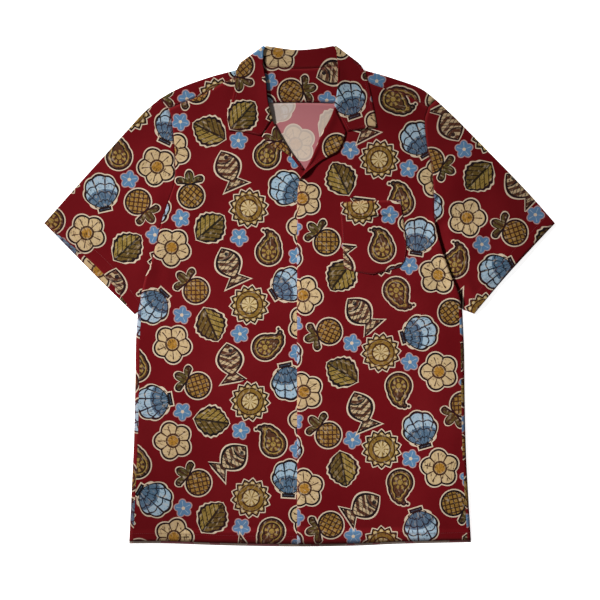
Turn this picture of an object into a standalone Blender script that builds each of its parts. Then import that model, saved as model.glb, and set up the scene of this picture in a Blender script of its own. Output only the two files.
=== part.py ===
"""Short-sleeved camp collar shirt, laid flat on its back with the front up.

Sizes are millimetres until a mesh is made: x runs across from the centre line (plus is the
wearer's left, which lies on the image's right), up runs from the hem to the collar, and z is
the height above the surface that the shirt lies on. Every piece is a cloth wall of its own.
"""
import bpy
from math import cos, sin, pi, exp
from mathutils import Vector

MM = 0.001
LENGTH = 811.0        # hem to the top of the collar, as it lies
WALL = 1.0            # thickness of the cloth walls
SEAM_GAP = 0.3        # air between two pieces at a seam
LAYER = 1.4           # a wall and the air over it: the step from one lying layer to the next
RAMP = 40.0           # distance over which cloth comes down from a layer that lies beneath it
CLEAR = 6.0           # how far that step up starts before the layer beneath
TURN_STEPS = 4        # faces round a folded edge
CURVE_STEPS = 8       # straight steps between two points of an outline

SIDE_ROWS = 12        # rows of faces from the hem to the underarm
ARM_TOP_ROWS = 9      # rows along the armhole, from the underarm crease to the shoulder
ARM_LOW_ROWS = 7      # rows along the armhole, beside the underarm crease
PLACKET_ROWS = 14     # rows from the hem to where the lapel starts to turn
LAPEL_ROWS = 8        # rows along the lapel's roll line
LAPEL_COLUMNS = 3     # columns from the roll line to the lapel's edge
NECK_ROWS = 6         # rows from the lapel to the shoulder, along the neck seam
SHOULDER_COLUMNS = 6
FRONT_COLUMNS = 2 * SHOULDER_COLUMNS
NECK_COLUMNS = 6
BACK_COLUMNS = 2 * SHOULDER_COLUMNS + NECK_COLUMNS
STAND_ROWS = 2        # rows of faces up the collar's stand
FALL_ROWS = 6         # rows down its fall, two for each step of WING_END
CUFF_STATIONS = 9     # rings of faces from armhole to cuff
CUFF_MIDDLE = 0.45    # where along the cuff it curves in the most
YOKE_ROWS = 3         # rows from the yoke's back seam to the shoulder
STRIP_ROWS = 2        # rows from the shoulder to the forward seam
POCKET_ROWS = 6
UNDERARM_CLEAR = 1.5  # the sleeve's lowest corner from the side seam
SLEEVE_CLEAR = 0.2    # each side of the armhole seam from the seam line
HEM_CLEAR = 9.0       # points of the hem nearer than this to a front's edge are left out
STRIP_CLEAR = 0.9     # the strip's end beside the collar
STAND_CLEAR = 0.75    # the collar's stand from the fronts' neck seam
STAND_END_CLEAR = 1.2  # and at the shoulder, where the strip ends
LINING_DROP = 4.0     # how far the inner yoke's top ends short beside the shoulders
NECK_START = 0.4      # the collar starts this share of a row up the neck seam from the lapel

# The collar's back fall is hidden between the yoke and the surface, and the inner yoke between
# the outer yoke and the fronts. Half width, lowest and highest edge.
FALL_HALF, FALL_LOW = 106.0, 748.0
LINING_HALF, LINING_LOW, LINING_SIDE_TOP = 108.0, 716.0, 760.0
UNDERLAP = 33.0       # how far the wearer's right front runs on beneath the left one
UNDERLAP_TOP = 611.0

# Outlines, each a list of (x, up). "right" and "left" are the wearer's own.
SHOULDER = {
    "right": [(-226, 725), (-195, 742), (-148, 759), (-103, 771), (-70, 781)],
    "left": [(223, 724), (195, 742), (148, 759), (104, 771), (71, 781)],
}
FORWARD_SEAM = {
    "right": [(-213, 708), (-190, 718), (-158, 731), (-122, 751), (-80, 768)],
    "left": [(209, 711), (164, 734), (137, 741), (111, 751), (82, 768)],
}
ARMHOLE_TOP = {
    "right": [(-213, 708), (-208, 695), (-202, 642), (-202, 593), (-211, 562), (-222, 530)],
    "left": [(209, 711), (203, 687), (208, 642), (215, 612), (218, 561), (219, 523)],
}
ARMHOLE_LOW = {
    "right": [(-222, 530), (-239, 463), (-251, 431), (-262, 379)],
    "left": [(219, 523), (225, 497), (244, 440), (255, 415), (263, 387)],
}
SLEEVE_LOW = {
    "right": [(-222, 530), (-239, 463), (-251, 431), (-262, 379)],
    "left": [(219, 523), (236, 497), (255, 441), (273, 408), (281, 379)],
}
BACK_LOW = {
    "right": [(-222, 530), (-239, 463), (-251, 431), (-262, 379)],
    "left": [(219, 523), (231, 497), (250, 441), (264, 411), (270, 381)],
}
SLEEVE_FOLD = {
    "right": [(-226, 725), (-252, 703), (-276, 677), (-323, 625), (-369, 574), (-414, 523)],
    "left": [(223, 724), (249, 703), (276, 677), (318, 625), (369, 573), (414, 523)],
}
CUFF_BOW = {"right": 11, "left": 3}   # how far the upper layer's cuff edge curves inwards
CUFF_CORNER = {"right": (-267, 375), "left": (283, 376)}
SIDE_SEAM = {
    "right": [(-276, 8), (-271, 107), (-268, 172), (-266, 269), (-265, 334), (-262, 379)],
    "left": [(278, 8), (271, 120), (268, 188), (266, 253), (266, 334), (263, 387)],
}
HEM = [(-276, 8), (-218, 6), (-142, 3), (-83, 2), (4, 0), (92, 2), (160, 5), (278, 8)]
FRONT_HEM_RISE = 4.0  # the fronts end this much above the back's hem
UNDERLAP_EDGE = [(33, 3), (33, 200), (33, 400), (33, 500), (33, 548), (30, 578), (22, 597), (8, 610)]
PLACKET_EDGE = [(-4, 3), (-4, 200), (-4, 400), (-4, 500), (-4, 550), (-3, 575), (-1, 593)]
ROLL_LAPEL = {
    "right": [(8, 610), (-19, 646), (-43, 688)],
    "left": [(-1, 593), (15, 620), (23, 637), (35, 666), (50, 694), (56, 710)],
}
LAPEL_EDGE = {
    "right": [(1, 611), (-12, 628), (-27, 639), (-43, 647), (-61, 663)],
    "left": [(8, 598), (33, 619), (49, 630), (62, 639), (71, 655), (75, 671)],
}
NECKLINE = {
    "right": [(-43, 688), (-58, 706), (-69, 731), (-76, 752), (-80, 768)],
    "left": [(56, 710), (67, 726), (76, 748), (82, 768)],
}
BACK_NECK = [(-70, 781), (-58, 777), (0, 773), (59, 777), (71, 781)]
ROLL_NECK = {
    "right": [(-44, 692), (-51, 723), (-54, 755), (-59, 780), (-58, 811)],
    "left": [(57, 714), (61, 740), (62, 778), (59, 811)],
}
COLLAR_TOP = [(-58, 811), (0, 804), (59, 811)]
WING_EDGE = {
    "right": [(-114, 672), (-117, 701), (-109, 724), (-104, 750), (-103, 769), (-96, 783)],
    "left": [(126, 678), (120, 710), (111, 752), (105, 769), (97, 782)],
}
WING_END = {
    "right": [(-44, 692), (-62, 664), (-92, 671), (-114, 672)],
    "left": [(57, 714), (78, 672), (101, 675), (126, 678)],
}
BACK_RIM = [(-96, 783), (-84, 757), (0, 748), (85, 757), (97, 782)]
YOKE_SEAM = [(-208, 695), (-150, 710), (0, 719), (150, 708), (203, 687)]
POCKET_TOP = [(66, 557), (164, 561)]
POCKET_END = [(72, 450), (82, 446), (119, 439), (163, 452), (171, 463)]
POCKET_SIDES = [(66, 557), (72, 450)], [(164, 561), (173, 490), (171, 463)]

# The largest folds of the lying front: a soft ridge from one point to another.
# start x, start up, end x, end up, half width, height
FOLDS = [
    (-232, 560, -252, 420, 20, 2.6),
    (-205, 500, -150, 590, 24, 1.6),
    (-300, 560, -262, 450, 26, 2.4),
    (-345, 500, -300, 420, 24, 1.6),
    (236, 470, 262, 400, 20, 3.0),
    (272, 500, 300, 400, 22, 3.2),
    (232, 560, 270, 620, 26, 2.0),
    (330, 560, 340, 440, 26, 1.8),
    (-215, 60, -205, 260, 30, 1.8),
    (215, 40, 222, 250, 30, 2.2),
    (-120, 30, -112, 170, 30, 1.2),
    (240, 300, 205, 370, 24, 1.6),
]


def clear_scene():
    for thing in list(bpy.data.objects):
        bpy.data.objects.remove(thing, do_unlink=True)


def finish(name, colour, roughness):
    material = bpy.data.materials.new(name)
    material.use_nodes = True
    shader = material.node_tree.nodes["Principled BSDF"]
    shader.inputs["Base Color"].default_value = (*colour, 1.0)
    shader.inputs["Roughness"].default_value = roughness
    shader.inputs["Metallic"].default_value = 0.0
    return material


def spline(points, count):
    """A smooth line through the points, cut into count steps of equal length."""
    given = [Vector(point) for point in points]
    if len(given) > 2:
        ends = [2 * given[0] - given[1]] + given + [2 * given[-1] - given[-2]]
        fine = []
        for a, b, c, d in zip(ends, ends[1:], ends[2:], ends[3:]):
            for step in range(CURVE_STEPS):
                t = step / CURVE_STEPS
                fine.append(0.5 * (2 * b + (c - a) * t + (2 * a - 5 * b + 4 * c - d) * t * t
                                   + (3 * b - a - 3 * c + d) * t ** 3))
        given = fine + [given[-1]]
    reach = [0.0]
    for a, b in zip(given, given[1:]):
        reach.append(reach[-1] + (b - a).length)
    line = []
    leg = 0
    for step in range(count + 1):
        wanted = reach[-1] * step / count
        while leg < len(reach) - 2 and reach[leg + 1] < wanted:
            leg += 1
        share = (wanted - reach[leg]) / (reach[leg + 1] - reach[leg])
        line.append(given[leg].lerp(given[leg + 1], min(share, 1.0)))
    return line


def halved(line):
    """The same line with a point added in the middle of every step."""
    points = [line[0]]
    for a, b in zip(line, line[1:]):
        points += [(a + b) / 2, b]
    return points


def patch(first, last, start, end):
    """Rows of points between four edges. first and last are the end rows, and start and end
    hold the first and last point of every row."""
    rows = len(start) - 1
    columns = len(first) - 1
    grid = []
    for r in range(rows + 1):
        v = r / rows
        line = []
        for c in range(columns + 1):
            u = c / columns
            corner = first[0].lerp(first[-1], u).lerp(last[0].lerp(last[-1], u), v)
            line.append(start[r].lerp(end[r], u) + first[c].lerp(last[c], v) - corner)
        grid.append(line)
    return grid


def draw_in(grid, gap, first=False, last=False, start=False, end=False):
    """Moves the named edges of a patch inwards, each point towards its inner neighbour."""
    rows = [list(line) for line in grid]
    for r, line in enumerate(grid):
        if start:
            rows[r][0] = line[0] + (line[1] - line[0]).normalized() * gap
        if end:
            rows[r][-1] = line[-1] + (line[-2] - line[-1]).normalized() * gap
    moved = [list(line) for line in rows]
    for c in range(len(rows[0])):
        if first:
            moved[0][c] = rows[0][c] + (rows[1][c] - rows[0][c]).normalized() * gap
        if last:
            moved[-1][c] = rows[-1][c] + (rows[-2][c] - rows[-1][c]).normalized() * gap
    return moved


def ease(value, low, high):
    t = min(max((value - low) / (high - low), 0.0), 1.0)
    return t * t * (3 - 2 * t)


def over(x, up, half, low):
    """1 over a hidden layer that reaches half to each side and down to low, 0 away from it."""
    beside = ease(half + CLEAR + RAMP - abs(x), 0, RAMP)
    return beside * ease(up, low - CLEAR - RAMP, low - CLEAR)


def drape(x, up):
    height = 0.0
    for x0, up0, x1, up1, width, rise in FOLDS:
        start = Vector((x0, up0))
        along = Vector((x1, up1)) - start
        share = (Vector((x, up)) - start).dot(along) / along.length_squared
        away = Vector((x, up)) - start - along * min(max(share, 0.0), 1.0)
        height += rise * exp(-away.length_squared / width ** 2)
    return height


def back_height(x, up):
    return WALL / 2 + LAYER * over(x, up, FALL_HALF, FALL_LOW)


def lining_height(x, up):
    return back_height(x, up) + LAYER


def top_height(x, up):
    """Middle of the wall of whatever lies uppermost on the back: right front, strip, sleeve."""
    return lining_height(x, up) + LAYER * over(x, up, LINING_HALF, LINING_LOW) + drape(x, up)


def left_front_height(x, up):
    beside = ease(UNDERLAP + CLEAR + RAMP - x, 0, RAMP)
    below = 1 - ease(up, UNDERLAP_TOP + CLEAR, UNDERLAP_TOP + CLEAR + RAMP)
    return top_height(x, up) + LAYER * beside * below


def raised(grid, height):
    return [[Vector((p.x, p.y, height(p.x, p.y))) for p in line] for line in grid]


def turn(first, last, outward, bulge):
    """Points round a folded edge, from one lying layer to the other, without their ends."""
    middle = (first + last) / 2
    points = []
    for step in range(1, TURN_STEPS):
        angle = pi * step / TURN_STEPS
        points.append(middle + (first - middle) * cos(angle) + outward * bulge * sin(angle))
    return points


def cloth(name, grid, material, ring=False):
    """A wall of cloth on the grid's points. A place left None has no cloth, and a ring's rows
    close on themselves."""
    vertices = []
    index = {}
    for r, line in enumerate(grid):
        for c, point in enumerate(line):
            if point is not None:
                index[r, c] = len(vertices)
                vertices.append((point.x * MM, (point.y - LENGTH / 2) * MM, point.z * MM))
    faces = []
    columns = len(grid[0])
    for r in range(len(grid) - 1):
        for c in range(columns if ring else columns - 1):
            after = (c + 1) % columns
            corners = [(r, c), (r, after), (r + 1, after), (r + 1, c)]
            if all(corner in index for corner in corners):
                faces.append([index[corner] for corner in corners])
    mesh = bpy.data.meshes.new(name)
    mesh.from_pydata(vertices, [], faces)
    mesh.materials.append(material)
    mesh.shade_smooth()
    piece = bpy.data.objects.new(name, mesh)
    bpy.context.scene.collection.objects.link(piece)
    wall = piece.modifiers.new("wall", "SOLIDIFY")
    wall.thickness = WALL * MM
    wall.offset = 0.0
    return piece


def side_of(side):
    return 1 if side == "left" else -1


def armhole(side, low_rows):
    """The armhole from the underarm to the forward seam, sampled alike for all it joins."""
    low = spline(low_rows[side], ARM_LOW_ROWS)
    top = spline(ARMHOLE_TOP[side], ARM_TOP_ROWS)
    return low[::-1] + top[::-1][1:]


def neck_seam(side):
    return spline(NECKLINE[side], NECK_ROWS)


def front(side, height, material):
    """A front with its lapel, turned over along the roll line on to the front itself."""
    outer = spline(SIDE_SEAM[side], SIDE_ROWS) + armhole(side, ARMHOLE_LOW)[1:]
    edge = UNDERLAP_EDGE if side == "right" else PLACKET_EDGE
    placket = spline(edge, PLACKET_ROWS)
    roll = spline(ROLL_LAPEL[side], LAPEL_ROWS)
    inner = placket + roll[1:] + neck_seam(side)[1:]
    hem = [Vector((x, up + FRONT_HEM_RISE)) for x, up in HEM
           if (x - edge[0][0]) * side_of(side) > HEM_CLEAR]
    if side == "right":
        hem = hem[::-1]
    low = spline([inner[0]] + hem, FRONT_COLUMNS)[::-1]
    high = halved(spline(FORWARD_SEAM[side], SHOULDER_COLUMNS))
    outer[0] = low[0]
    grid = patch(low, high, outer, inner)
    grid = draw_in(grid, SEAM_GAP / 2, last=True, start=True)
    sheet = raised(grid, height)

    first = PLACKET_ROWS
    last = PLACKET_ROWS + LAPEL_ROWS
    rim = spline(LAPEL_EDGE[side], LAPEL_ROWS)
    for r, line in enumerate(sheet):
        if first <= r <= last:
            out = (grid[r][-1] - grid[r][-2]).normalized()
            rolled = roll[r - first] - out * (WALL + LAYER) / 2
            if r == last:
                rim[-1] = rim[-1] - Vector((0, SEAM_GAP))
            line[-1] = Vector((rolled.x, rolled.y, height(rolled.x, rolled.y)))
            lapel = [rolled.lerp(rim[r - first], column / LAPEL_COLUMNS)
                     for column in range(LAPEL_COLUMNS + 1)]
            over_it = raised([lapel], lambda x, up: height(x, up) + LAYER)[0]
            outward = Vector((out.x, out.y, 0))
            line += turn(line[-1], over_it[0], outward, LAYER / 2) + over_it
        else:
            line += [None] * (TURN_STEPS + LAPEL_COLUMNS)
    return cloth("front_" + side, sheet, material)


def back(material):
    rights = spline(SIDE_SEAM["right"], SIDE_ROWS) + back_armhole("right")[1:-1]
    lefts = spline(SIDE_SEAM["left"][:-1] + [BACK_LOW["left"][-1]], SIDE_ROWS)
    lefts += back_armhole("left")[1:-1]
    grid = patch(spline(HEM, BACK_COLUMNS), spline(YOKE_SEAM, BACK_COLUMNS), rights, lefts)
    grid = draw_in(grid, SEAM_GAP / 2, last=True, start=True, end=True)
    return cloth("back", raised(grid, back_height), material)


def back_armhole(side):
    """As armhole, but its last point is the shoulder fold and the one before the yoke's seam."""
    low = spline(BACK_LOW[side], ARM_LOW_ROWS)
    seam_end = YOKE_SEAM[0] if side == "right" else YOKE_SEAM[-1]
    top = spline([seam_end] + ARMHOLE_TOP[side][2:], ARM_TOP_ROWS)
    return low[::-1] + top[::-1][1:] + [Vector(SHOULDER[side][0])]


def yoke(material):
    """The outer yoke: across the back, folded at each shoulder, and down to the forward seam."""
    rights = spline(SHOULDER["right"], SHOULDER_COLUMNS)
    lefts = spline(SHOULDER["left"], SHOULDER_COLUMNS)[::-1]
    neck = spline(BACK_NECK, NECK_COLUMNS)
    lows = spline(YOKE_SEAM, BACK_COLUMNS)
    sides = [[a.lerp(b, r / YOKE_ROWS) for r in range(YOKE_ROWS + 1)]
             for a, b in ((lows[0], rights[0]), (lows[-1], lefts[-1]))]
    grid = patch(lows, rights + neck[1:-1] + lefts, *sides)
    grid = draw_in(grid, SEAM_GAP / 2, first=True, start=True, end=True)
    sheet = raised(grid, back_height)
    strips = {"right": spline(FORWARD_SEAM["right"], SHOULDER_COLUMNS),
              "left": spline(FORWARD_SEAM["left"], SHOULDER_COLUMNS)[::-1]}
    upper = [[] for _ in range(TURN_STEPS + STRIP_ROWS)]
    columns = len(lows)
    for c in range(columns):
        side = "right" if c <= SHOULDER_COLUMNS else "left"
        shoulder = c if side == "right" else c - (columns - 1 - SHOULDER_COLUMNS)
        if SHOULDER_COLUMNS < c < columns - 1 - SHOULDER_COLUMNS:
            neck_point = grid[-1][c] + Vector((0, -SEAM_GAP))
            sheet[-1][c] = Vector((neck_point.x, neck_point.y, sheet[-1][c].z))
            for line in upper:
                line.append(None)
            continue
        fold = grid[-1][c]
        seam = strips[side][shoulder]
        out = (fold - seam).normalized()
        seam = seam + out * SEAM_GAP / 2
        layers = (top_height(fold.x, fold.y) - back_height(fold.x, fold.y)) / LAYER
        pulled = fold - out * (WALL + LAYER * layers) / 2
        if c in (0, columns - 1):
            inward = Vector((-side_of(side) * SEAM_GAP / 2, 0))
            seam = seam + inward
        elif grid[-1][c] in (rights[-1], lefts[0]):
            neck_clear = Vector((side_of(side) * STRIP_CLEAR, 0))
            pulled = pulled + neck_clear
            seam = seam + neck_clear
        low_end = Vector((pulled.x, pulled.y, back_height(pulled.x, pulled.y)))
        strip = [pulled.lerp(seam, row / STRIP_ROWS) for row in range(STRIP_ROWS + 1)]
        strip = raised([strip], top_height)[0]
        sheet[-1][c] = low_end
        arc = turn(low_end, strip[0], Vector((out.x, out.y, 0)), LAYER * layers / 2)
        for line, point in zip(upper, arc + strip):
            line.append(point)
    return cloth("yoke", sheet + upper, material)


def inner_yoke(material):
    """The yoke's inner layer, which shows in the neck and ends beneath the fronts."""
    neck = spline(BACK_NECK, NECK_COLUMNS)
    corners = [Vector((side * LINING_HALF, LINING_SIDE_TOP)) for side in (-1, 1)]
    high = [corners[0]] + [p - Vector((0, LINING_DROP if c in (0, NECK_COLUMNS) else 0))
                           for c, p in enumerate(neck)] + [corners[1]]
    low = spline([(-LINING_HALF, LINING_LOW), (0, YOKE_SEAM[2][1]), (LINING_HALF, LINING_LOW)],
                 NECK_COLUMNS + 2)
    sides = [[a.lerp(b, r / YOKE_ROWS) for r in range(YOKE_ROWS + 1)]
             for a, b in ((low[0], high[0]), (low[-1], high[-1]))]
    grid = draw_in(patch(low, high, *sides), SEAM_GAP, last=True)
    return cloth("inner_yoke", raised(grid, lining_height), material)


def sleeve(side, material):
    """A flattened tube: rings from the armhole to the cuff, over the top fold and round."""
    away = side_of(side)
    fold = spline(SLEEVE_FOLD[side], CUFF_STATIONS)
    cuff_rows = ARM_LOW_ROWS + ARM_TOP_ROWS + 1
    corner, tip = Vector(CUFF_CORNER[side]), Vector(SLEEVE_FOLD[side][-1])
    inward = (Vector(SHOULDER[side][0]) - tip).normalized()
    bowed = corner.lerp(tip, CUFF_MIDDLE) + inward * CUFF_BOW[side]
    cuffs = spline([corner, bowed, tip], cuff_rows), spline([corner, tip], cuff_rows)
    layers = []
    top = Vector(SHOULDER[side][0])
    armholes = armhole(side, SLEEVE_LOW) + [top], back_armhole(side)
    for armhole_line, cuff in zip(armholes, cuffs):
        armhole_line[0] = armhole_line[0] + Vector((away * UNDERARM_CLEAR, 0))
        hem = spline([armhole_line[0], CUFF_CORNER[side]], CUFF_STATIONS)
        grid = patch(armhole_line, cuff, hem, fold)
        layers.append(draw_in(grid, SLEEVE_CLEAR, first=True))
    rings = []
    for front_line, back_line in zip(*layers):
        for line in (front_line, back_line):
            for end, inner in ((0, 1), (-1, -2)):
                inward = (line[inner] - line[end]).normalized()
                line[end] = line[end] + inward * (WALL + LAYER) / 2
        outs = [(front_line[end] - front_line[inner]).normalized() for end, inner in ((0, 1), (-1, -2))]
        low_out, top_out = [Vector((out.x, out.y, 0)) for out in outs]
        upper = raised([front_line], top_height)[0]
        lower = raised([back_line], back_height)[0]
        ring = upper + turn(upper[-1], lower[-1], top_out, LAYER / 2)
        ring += lower[::-1] + turn(lower[0], upper[0], low_out, LAYER / 2)
        rings.append(ring if away > 0 else ring[::-1])
    return cloth("sleeve_" + side, rings, material, ring=True)


def collar_column(stand, fall, stand_height, fall_height):
    """Points from the neck seam up the stand, round the roll and down the fall to the rim."""
    low = raised([stand], stand_height)[0]
    high = raised([fall], fall_height)[0]
    away = (stand[-1] - stand[0]).normalized().to_3d()
    radius = abs(high[0].z - low[-1].z) / 2
    low[-1] -= away * (radius + WALL / 2)
    high[0] -= away * (radius + WALL / 2)
    return low + turn(low[-1], high[0], away, radius) + high


def collar(material):
    """One cloth from neck seam to rim: the stand, the roll, and the fall that turns over it.
    The fall lies on the fronts, and at each shoulder it passes behind to lie under the yoke."""
    wings = {}
    creases = {}
    for side in ("right", "left"):
        seam = neck_seam(side)
        seam[0] = seam[0].lerp(seam[1], NECK_START)
        seam = [p - Vector((side_of(side) * STAND_CLEAR, 0)) for p in seam]
        seam.append(Vector(SHOULDER[side][-1]) - Vector((side_of(side) * STAND_END_CLEAR, 0)))
        roll = spline(ROLL_NECK[side][:-1], NECK_ROWS) + [Vector(ROLL_NECK[side][-1])]
        rim = spline(WING_EDGE[side][:-1], NECK_ROWS) + [Vector(WING_EDGE[side][-1])]
        crease = spline([roll[-1], rim[-1]], FALL_ROWS)
        falls = patch(halved([Vector(p) for p in WING_END[side]]), crease, roll, rim)
        wings[side] = [collar_column(spline([a, b], STAND_ROWS), fall, top_height,
                                     lambda x, up: top_height(x, up) + LAYER)
                       for a, b, fall in zip(seam, roll, falls)]
        creases[side] = crease

    neck = [p + Vector((0, SEAM_GAP / 2)) for p in spline(BACK_NECK, NECK_COLUMNS)]
    top = spline(COLLAR_TOP, NECK_COLUMNS)
    rim = spline(BACK_RIM, NECK_COLUMNS)
    falls = patch(creases["right"], creases["left"], top, rim)
    behind = [collar_column(spline([a, b], STAND_ROWS), fall, lining_height,
                            lambda x, up: WALL / 2)
              for a, b, fall in zip(neck, top, falls)]

    turns = {}
    for side, hidden in (("right", behind[0]), ("left", behind[-1])):
        shown = wings[side][-1]
        along = creases[side][-1] - creases[side][0]
        out = Vector((along.y, -along.x, 0)).normalized() * side_of(side) * -1
        arcs = []
        for point, (upper, lower) in enumerate(zip(shown, hidden)):
            bulge = (upper.z - lower.z) / 2
            shift = out * (bulge + WALL / 2)
            shown[point] = upper - shift
            hidden[point] = lower - shift
            arcs.append(turn(shown[point], hidden[point], out, bulge))
        turns[side] = [list(line) for line in zip(*arcs)]
    columns = wings["right"] + turns["right"] + behind + turns["left"][::-1] + wings["left"][::-1]
    return cloth("collar", columns, material)


def pocket(material):
    start, end = [spline(side, POCKET_ROWS) for side in POCKET_SIDES]
    low = halved([Vector(point) for point in POCKET_END])
    high = spline(POCKET_TOP, len(low) - 1)
    grid = patch(high, low, start, end)
    return cloth("pocket", raised(grid, lambda x, up: left_front_height(x, up) + LAYER), material)


def main():
    clear_scene()
    printed = finish("printed_cloth", (0.16, 0.012, 0.02), 0.85)
    back(printed)
    yoke(printed)
    inner_yoke(printed)
    front("right", top_height, printed)
    front("left", left_front_height, printed)
    sleeve("right", printed)
    sleeve("left", printed)
    collar(printed)
    pocket(printed)


main()
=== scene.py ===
"""The looks of a short-sleeved camp collar shirt that lies flat on its back, front up.

Sizes are millimetres until a mesh is made: x runs across (plus is the wearer's left), up runs
from the hem to the collar, and z is the height above the floor. The outlines are the solids',
measured again: they lie within 6 mm of them, but for the left sleeve's edge at the underarm, which
goes up to 17 mm further in. The cloth here is thinner, smoother and creased.
"""

from math import cos, exp, pi, radians, sin

import bpy
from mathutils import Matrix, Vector


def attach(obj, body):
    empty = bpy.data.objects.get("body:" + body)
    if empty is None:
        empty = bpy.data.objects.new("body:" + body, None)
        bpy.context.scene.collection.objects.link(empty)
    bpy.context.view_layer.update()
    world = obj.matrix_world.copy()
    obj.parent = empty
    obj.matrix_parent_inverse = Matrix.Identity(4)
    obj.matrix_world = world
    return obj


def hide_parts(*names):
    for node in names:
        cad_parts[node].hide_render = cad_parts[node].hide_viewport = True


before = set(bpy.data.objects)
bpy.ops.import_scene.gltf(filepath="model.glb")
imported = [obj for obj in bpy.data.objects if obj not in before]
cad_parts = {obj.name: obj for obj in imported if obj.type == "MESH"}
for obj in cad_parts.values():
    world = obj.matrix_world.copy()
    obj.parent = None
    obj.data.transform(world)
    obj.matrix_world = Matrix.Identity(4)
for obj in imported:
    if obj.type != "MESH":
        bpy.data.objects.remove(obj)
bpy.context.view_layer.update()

# ---------------------------------------------------------------- sizes of the cloth
MM = 0.001
LENGTH = 811.0        # hem to the top of the collar, as it lies
CLOTH = 0.7           # thickness of the thin shells
HEM = 14.0            # depth of the turned hem, and of the cuffs' and the pocket's below
CUFF_HEM = 20.0
POCKET_HEM = 23.0
HEM_RISE = 0.55       # how much the turned cloth adds
HEM_BAND = 0.7        # half the width of the step down where turned cloth ends
HEM_MARGIN = 0.02     # the least share of a step that is left on each side of a row put in there
HEM_FROM_EDGE = 9     # the first given point of a front's hem lies at least this far from its edge
POCKET_GAPE = 0.9     # how far the pocket's mouth stands open, and what share of it the row below
GAPE_BELOW = 0.8
WALL = 1.0            # thickness of the solids that they stand for
LAYER = 1.4           # the step from one lying layer to the next
RAMP = 40.0           # distance over which cloth comes down from a layer that lies beneath it
CLEAR = 6.0           # how far that step up starts before the layer beneath
TURN_STEPS = 8        # faces round a folded edge
CURVE_STEPS = 8       # steps that a smooth line makes from one given point to the next
FINE = 4              # faces for each face of the solids

SIDE_ROWS = 12 * FINE
ARM_TOP_ROWS = 9 * FINE
ARM_LOW_ROWS = 7 * FINE
PLACKET_ROWS = 14 * FINE
LAPEL_ROWS = 8 * FINE
NECK_ROWS = 6 * FINE
SHOULDER_COLUMNS = 6 * FINE
FRONT_COLUMNS = 2 * SHOULDER_COLUMNS
NECK_COLUMNS = 6 * FINE
BACK_COLUMNS = 2 * SHOULDER_COLUMNS + NECK_COLUMNS
YOKE_ROWS = 3 * FINE
STRIP_ROWS = 6        # rows of the yoke's strips in front
CUFF_STATIONS = 12 * FINE
POCKET_ROWS = 24
LAPEL_COLUMNS = 10
STAND_ROWS = 6
FALL_HALVINGS = 3     # the fall's rows are the steps of WING_END, halved this many times
POCKET_HALVINGS = 3   # and the pocket's columns those of POCKET_END
NECK_START = 0.06     # how far along the neck seam's first step a wing of the collar begins
TUCK, TUCK_LOW = 13.0, 7.0  # half width of the fold that the left sleeve's underarm sinks into
TUCK_START = 532.0    # how high up it begins, and where it narrows
TUCK_NARROWS = 486.0
TUCK_CUFF = 8.0       # how much it widens again, from here down to the cuff
TUCK_WIDENS = 430.0
TUCK_EASE, TUCK_END = 14.0, 12.0  # lengths over which its width changes and over which it begins
TUCK_GAP = 0.2        # what is left between the sleeve and the back at its bottom
TUCK_TESTS = 6        # steps of the seam's legs from which the distance to it is taken
CUFF_EASE = 3         # half the width of the step down where a cuff's hem ends
FLAT_HEM = 45.0       # from here down the front lies closer and closer, as pressed hems do
HEM_SMOOTH, HEM_SINKS = 0.75, 0.85
POCKET_STEP = 0.95    # how far the pocket's middle lies over the front's

LAPEL_SOFT = {"right": 1.6, "left": 2.2}   # how full the lapel's roll is
LAPEL_FLARE = {"right": 1.2, "left": 4.3}  # how far its free edge stands up
LAPEL_FILLS = 0.3     # the share of the roll, from its lower end, over which it fills
LIFT_LEAST, LIFT_AT, LIFT_SPREAD = 0.25, 0.07, 0.14  # how the flare goes along the roll
PUFF_SPREAD = 0.22    # how far from its fold a turned piece stands up, as a share of its width
COLLAR_SOFT = 2.4     # how full the wings' roll is, and the shares of it that it fills and sinks in
COLLAR_FILLS, COLLAR_SINKS = 0.2, 0.7

# Half widths, low edges and side of what lies hidden: the collar's fall, inner yoke and underlap.
FALL_HALF, FALL_LOW = 106.0, 748.0
LINING_HALF, LINING_LOW, LINING_SIDE_TOP = 108.0, 716.0, 760.0
UNDERLAP = 33.0
UNDERLAP_TOP = 611.0

# Outlines, each a list of (x, up). "right" and "left" are the wearer's own.
SHOULDER = {
    "right": [(-226, 725), (-195, 742), (-148, 759), (-103, 771), (-70, 781)],
    "left": [(221, 723), (195, 742), (148, 759), (104, 771), (71, 781)],
}
FORWARD_SEAM = {
    "right": [(-213, 708), (-190, 718), (-158, 731), (-122, 751), (-80, 768)],
    "left": [(209, 711), (164, 734), (137, 741), (111, 751), (82, 768)],
}
ARMHOLE_TOP = {
    "right": [(-213, 708), (-208, 695), (-202, 642), (-202, 593), (-211, 562), (-222, 530)],
    "left": [(209, 711), (203, 687), (208, 642), (215, 612), (218, 561), (219, 523)],
}
ARMHOLE_LOW = {
    "right": [(-222, 530), (-239, 463), (-251, 431), (-262, 379)],
    "left": [(219, 523), (225, 497), (244, 440), (255, 415), (263, 387)],
}
SLEEVE_LOW = {
    "right": ARMHOLE_LOW["right"],
    "left": [(219, 523), (222, 497), (240, 441), (252, 413), (266, 382)],
}
BACK_LOW = {
    "right": ARMHOLE_LOW["right"],
    "left": [(219, 523), (231, 497), (248, 441), (259, 411), (264, 384)],
}
SLEEVE_FOLD = {
    "right": [(-226, 725), (-252, 703), (-276, 677), (-323, 625), (-369, 574), (-414, 523)],
    "left": [(221, 723), (248, 698), (268, 678), (321, 624), (370, 573), (414, 523)],
}
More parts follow.
